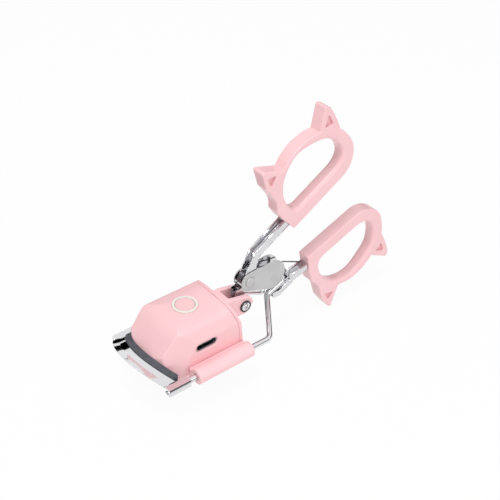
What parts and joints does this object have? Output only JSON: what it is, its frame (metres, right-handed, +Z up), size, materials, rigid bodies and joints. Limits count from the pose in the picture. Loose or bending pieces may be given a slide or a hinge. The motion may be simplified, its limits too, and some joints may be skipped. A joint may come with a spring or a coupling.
{
  "type": "heated eyelash curler",
  "caption": "Eyelash curler with an arched fixed jaw on two wire guide rods, a battery-heated silicone pad on a sliding housing, and scissor handles that end in cat-ear finger rings.",
  "frame": {"origin": "on the flat underside of the sliding housing, midway between the guide rods, 22.5 mm behind the front of the jaw sleeves, with the jaw closed", "axes": "+X from the jaw back to the finger rings, +Y to the left guide rod, +Z up to the power button"},
  "size_m": [0.1254, 0.039, 0.0922],
  "materials": {
    "rod_steel": "polished wire",
    "jaw_steel": "polished strip",
    "plate_steel": "matte",
    "shank_steel": "polished folded sheet",
    "rivet_steel": "polished",
    "spring_steel": "bright wire",
    "pink_plastic": "satin pink ABS",
    "pink_rubber": "soft-touch pink over plastic",
    "pad_silicone": "dark grey silicone",
    "heater_aluminium": "plain",
    "carrier_plastic": "heat-resistant, pink",
    "light_plastic": "milky translucent",
    "cell_wrap": "wrapped pouch cell",
    "board_laminate": "green laminate",
    "switch_plastic": "black",
    "socket_steel": "plated shell",
    "screw_steel": "dark plated"
  },
  "bodies": {
    "frame": {"guide_rod_left": "rod_steel", "guide_rod_right": "rod_steel", "fixed_jaw": "jaw_steel", "cheek_plate_left": "plate_steel", "cheek_plate_right": "plate_steel", "lower_shank": "shank_steel", "lower_finger_ring": "pink_rubber", "pivot_rivet": "rivet_steel", "torsion_spring": "spring_steel"},
    "upper_handle": {"upper_shank": "shank_steel", "upper_finger_ring": "pink_rubber"},
    "carriage": {"top_housing": "pink_plastic", "base_tray": "pink_plastic", "rear_cover": "pink_plastic", "silicone_pad": "pad_silicone", "heater_bar": "heater_aluminium", "pad_carrier": "carrier_plastic", "light_ring": "light_plastic", "battery_cell": "cell_wrap", "circuit_board": "board_laminate", "switch_board": "board_laminate", "tact_switch": "switch_plastic", "usb_c_socket": "socket_steel", "clevis_screw": "screw_steel", "clevis_nut": "screw_steel"},
    "button": {"power_button": "pink_plastic"}
  },
  "joints": [
    {"name": "carriage_slide", "type": "slide", "parent": "frame", "child": "carriage", "axis": [1, 0, 0], "range_m": [0, 0.005]},
    {"name": "handle_hinge", "type": "hinge", "parent": "frame", "child": "upper_handle", "pos_m": [0.0244, 0, 0.019], "axis": [0, -1, 0], "range_deg": [0, 39]},
    {"name": "button_press", "type": "slide", "parent": "carriage", "child": "button", "axis": [0, 0, -1], "range_m": [0, 0.0004], "stiffness_N_per_m": 1500}
  ],
  "couplings": [
    {"joint": "handle_hinge", "follows": "carriage_slide", "rad_per_m": 135.5}
  ]
}
